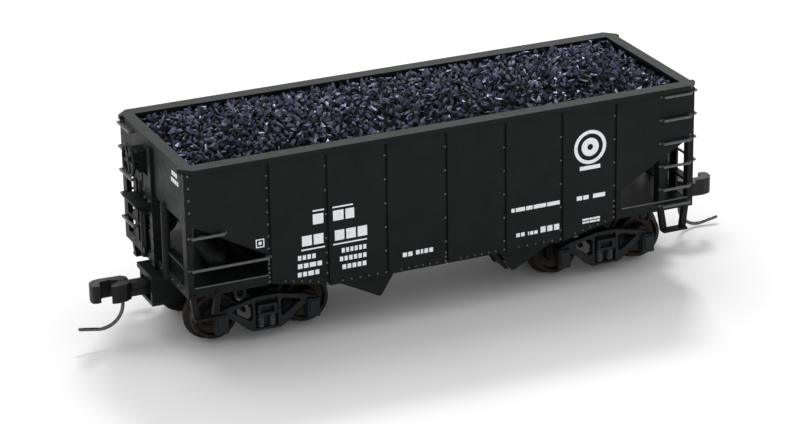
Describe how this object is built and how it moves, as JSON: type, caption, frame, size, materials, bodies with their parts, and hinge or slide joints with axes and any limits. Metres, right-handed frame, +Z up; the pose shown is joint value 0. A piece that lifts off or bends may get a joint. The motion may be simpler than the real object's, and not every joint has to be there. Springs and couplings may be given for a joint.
{
  "type": "model hopper car",
  "caption": "Open-top hopper railway car at 1:160 with a lift-out coal load, swivelling trucks, rolling wheelsets and swinging knuckle couplers.",
  "frame": {"origin": "middle of the car, level with the bottoms of the wheel flanges", "axes": "+X along the car from the brake end to the plain end, +Y across it to the far side, +Z up"},
  "size_m": [0.0784, 0.0208, 0.0222],
  "materials": {
    "body_black": "satin black paint on moulded plastic",
    "truck_plastic": "bluish dark grey moulded plastic",
    "coupler_plastic": "dark grey moulded plastic",
    "coal": "black crushed lumps with blue glints",
    "browned_wheel": "browned metal",
    "blackened_steel": "blackened turned steel",
    "plain_steel": "plain steel",
    "bright_wire": "bright drawn wire",
    "mark_white": "printed white"
  },
  "bodies": {
    "car_body": {"body_shell": "body_black", "underframe": "body_black", "chute_door_b": "body_black", "chute_door_a": "body_black", "steel_weight": "plain_steel", "brake_wheel": "body_black", "brake_housing": "body_black", "brake_platform": "body_black", "brake_rod": "body_black", "air_reservoir": "body_black", "brake_cylinder": "body_black", "control_valve": "body_black", "side_rungs_b": "body_black", "side_rungs_a": "body_black", "end_ladder_b": "body_black", "end_ladder_a": "body_black", "grab_irons_b": "body_black", "grab_irons_a": "body_black", "stirrup_b_near": "body_black", "stirrup_b_far": "body_black", "stirrup_a_near": "body_black", "stirrup_a_far": "body_black", "kingpin_b": "plain_steel", "kingpin_a": "plain_steel", "centring_spring_b": "plain_steel", "coupler_screw_b": "plain_steel", "centring_spring_a": "plain_steel", "coupler_screw_a": "plain_steel", "coupler_lid_b": "coupler_plastic", "coupler_lid_a": "coupler_plastic"},
    "truck_b": {"truck_frame_b": "truck_plastic"},
    "truck_a": {"truck_frame_a": "truck_plastic"},
    "coal_insert": {"coal_load": "coal"},
    "wheelset_1": {"axle_1": "blackened_steel", "wheel_1_near": "browned_wheel", "wheel_1_far": "browned_wheel"},
    "wheelset_2": {"axle_2": "blackened_steel", "wheel_2_near": "browned_wheel", "wheel_2_far": "browned_wheel"},
    "wheelset_3": {"axle_3": "blackened_steel", "wheel_3_near": "browned_wheel", "wheel_3_far": "browned_wheel"},
    "wheelset_4": {"axle_4": "blackened_steel", "wheel_4_near": "browned_wheel", "wheel_4_far": "browned_wheel"},
    "coupler_b": {"knuckle_half_b": "coupler_plastic"},
    "coupler_jaw_b": {"guard_half_b": "coupler_plastic", "trip_pin_b": "bright_wire"},
    "coupler_a": {"knuckle_half_a": "coupler_plastic"},
    "coupler_jaw_a": {"guard_half_a": "coupler_plastic", "trip_pin_a": "bright_wire"}
  },
  "joints": [
    {"name": "truck_b_swivel", "type": "hinge", "parent": "car_body", "child": "truck_b", "pos_m": [-0.0203, 0, 0.0055], "axis": [0, 0, 1], "range_deg": [-8, 8]},
    {"name": "truck_a_swivel", "type": "hinge", "parent": "car_body", "child": "truck_a", "pos_m": [0.0203, 0, 0.0055], "axis": [0, 0, 1], "range_deg": [-8, 8]},
    {"name": "wheelset_1_roll", "type": "hinge", "parent": "truck_b", "child": "wheelset_1", "pos_m": [-0.02555, 0, 0.0031], "axis": [0, 1, 0], "continuous": true},
    {"name": "wheelset_2_roll", "type": "hinge", "parent": "truck_b", "child": "wheelset_2", "pos_m": [-0.01505, 0, 0.0031], "axis": [0, 1, 0], "continuous": true},
    {"name": "wheelset_3_roll", "type": "hinge", "parent": "truck_a", "child": "wheelset_3", "pos_m": [0.01505, 0, 0.0031], "axis": [0, 1, 0], "continuous": true},
    {"name": "wheelset_4_roll", "type": "hinge", "parent": "truck_a", "child": "wheelset_4", "pos_m": [0.02555, 0, 0.0031], "axis": [0, 1, 0], "continuous": true},
    {"name": "coupler_b_swing", "type": "hinge", "parent": "car_body", "child": "coupler_b", "pos_m": [-0.029, 0, 0.00565], "axis": [0, 0, 1], "range_deg": [-5, 5], "stiffness_Nm_per_rad": 0.00002},
    {"name": "coupler_b_jaw", "type": "hinge", "parent": "coupler_b", "child": "coupler_jaw_b", "pos_m": [-0.029, 0, 0.00565], "axis": [0, 0, 1], "range_deg": [0, 7], "stiffness_Nm_per_rad": 0.00002},
    {"name": "coupler_a_swing", "type": "hinge", "parent": "car_body", "child": "coupler_a", "pos_m": [0.029, 0, 0.00565], "axis": [0, 0, 1], "range_deg": [-5, 5], "stiffness_Nm_per_rad": 0.00002},
    {"name": "coupler_a_jaw", "type": "hinge", "parent": "coupler_a", "child": "coupler_jaw_a", "pos_m": [0.029, 0, 0.00565], "axis": [0, 0, 1], "range_deg": [0, 7], "stiffness_Nm_per_rad": 0.00002},
    {"name": "coal_load_lift", "type": "slide", "parent": "car_body", "child": "coal_insert", "axis": [0, 0, 1], "range_m": [0, 0.02]}
  ]
}
